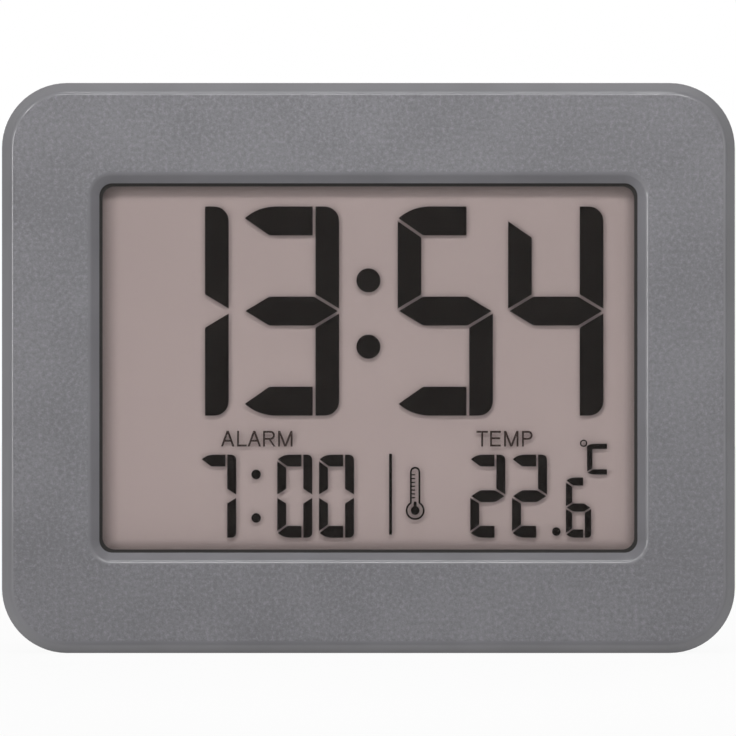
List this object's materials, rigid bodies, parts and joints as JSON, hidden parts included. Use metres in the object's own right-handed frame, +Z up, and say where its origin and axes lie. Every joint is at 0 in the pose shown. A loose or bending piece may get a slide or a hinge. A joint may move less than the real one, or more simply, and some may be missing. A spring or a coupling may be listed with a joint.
{
  "type": "digital desk clock",
  "caption": "Upright digital desk clock: grey rounded case, bevelled window, segment LCD of time, alarm and temperature, rear keys, battery door, fold-out foot.",
  "frame": {"origin": "middle of the case's base, half-way through the case's depth", "axes": "+X to the right as the display is read, +Y from the face to the back, +Z up"},
  "size_m": [0.18, 0.071, 0.14],
  "materials": {
    "case_grey": "fine spark-eroded moulding texture",
    "lens_clear": "clear polished sheet",
    "gasket_black": "adhesive foam",
    "lcd_glass": "polished float glass",
    "polariser_film": "anti-glare film",
    "reflector_film": "satin reflector film",
    "edge_seal": "cured epoxy",
    "lit_segment": "dark liquid-crystal segment",
    "holder_white": "plain moulding",
    "strip_rubber": "layered conductive silicone",
    "board_green": "solder mask",
    "chip_resin": "poured resin",
    "can_metal": "drawn can",
    "sensor_resin": "dipped bead",
    "switch_black": "moulded",
    "sounder_brass": "rolled disc",
    "lead_red": "insulated lead",
    "lead_black": "insulated lead",
    "cell_sleeve": "plain sleeve",
    "contact_steel": "nickel plate",
    "screw_steel": "zinc plate",
    "key_grey": "moulded keys"
  },
  "bodies": {
    "case": {"front_bezel": "case_grey", "rear_cover": "case_grey", "display_lens": "lens_clear", "lens_gasket": "gasket_black", "lcd_front_glass": "lcd_glass", "lcd_rear_glass": "lcd_glass", "lcd_front_polariser": "polariser_film", "lcd_reflector": "reflector_film", "lcd_edge_seal": "edge_seal", "time_digits": "lit_segment", "time_colon": "lit_segment", "alarm_digits": "lit_segment", "temperature_digits": "lit_segment", "degree_unit": "lit_segment", "display_divider": "lit_segment", "lcd_holder": "holder_white", "connector_strip": "strip_rubber", "main_board": "board_green", "controller_chip": "chip_resin", "quartz_crystal": "can_metal", "capacitors": "can_metal", "temperature_sensor": "sensor_resin", "key_switches": "switch_black", "alarm_switch": "switch_black", "piezo_sounder": "sounder_brass", "positive_lead": "lead_red", "negative_lead": "lead_black", "sounder_leads": "lead_black", "upper_cell": "cell_sleeve", "lower_cell": "cell_sleeve", "positive_contact": "contact_steel", "negative_contact": "contact_steel", "bridge_contact": "contact_steel", "holder_screws": "screw_steel", "board_screws": "screw_steel", "case_screws": "screw_steel"},
    "foot": {"desk_foot": "case_grey"},
    "door": {"battery_door": "case_grey"},
    "alarm_slide_knob": {"alarm_slider": "key_grey", "alarm_switch_lever": "switch_black"},
    "time_button_body": {"time_button": "key_grey"},
    "alarm_button_body": {"alarm_button": "key_grey"},
    "unit_button_body": {"unit_button": "key_grey"},
    "up_button_body": {"up_button": "key_grey"},
    "down_button_body": {"down_button": "key_grey"}
  },
  "joints": [
    {"name": "foot_hinge", "type": "hinge", "parent": "case", "child": "foot", "pos_m": [0, 0.0125, 0.0105], "axis": [1, 0, 0], "range_deg": [0, 100.7]},
    {"name": "door_hinge", "type": "hinge", "parent": "case", "child": "door", "pos_m": [0, 0.014, 0.0985], "axis": [1, 0, 0], "range_deg": [0, 70]},
    {"name": "alarm_slide", "type": "slide", "parent": "case", "child": "alarm_slide_knob", "axis": [1, 0, 0], "range_m": [0, 0.0035]},
    {"name": "time_button_press", "type": "slide", "parent": "case", "child": "time_button_body", "axis": [0, -1, 0], "range_m": [0, 0.0008], "stiffness_N_per_m": 800},
    {"name": "alarm_button_press", "type": "slide", "parent": "case", "child": "alarm_button_body", "axis": [0, -1, 0], "range_m": [0, 0.0008], "stiffness_N_per_m": 800},
    {"name": "unit_button_press", "type": "slide", "parent": "case", "child": "unit_button_body", "axis": [0, -1, 0], "range_m": [0, 0.0008], "stiffness_N_per_m": 800},
    {"name": "up_button_press", "type": "slide", "parent": "case", "child": "up_button_body", "axis": [0, -1, 0], "range_m": [0, 0.0008], "stiffness_N_per_m": 800},
    {"name": "down_button_press", "type": "slide", "parent": "case", "child": "down_button_body", "axis": [0, -1, 0], "range_m": [0, 0.0008], "stiffness_N_per_m": 800}
  ]
}
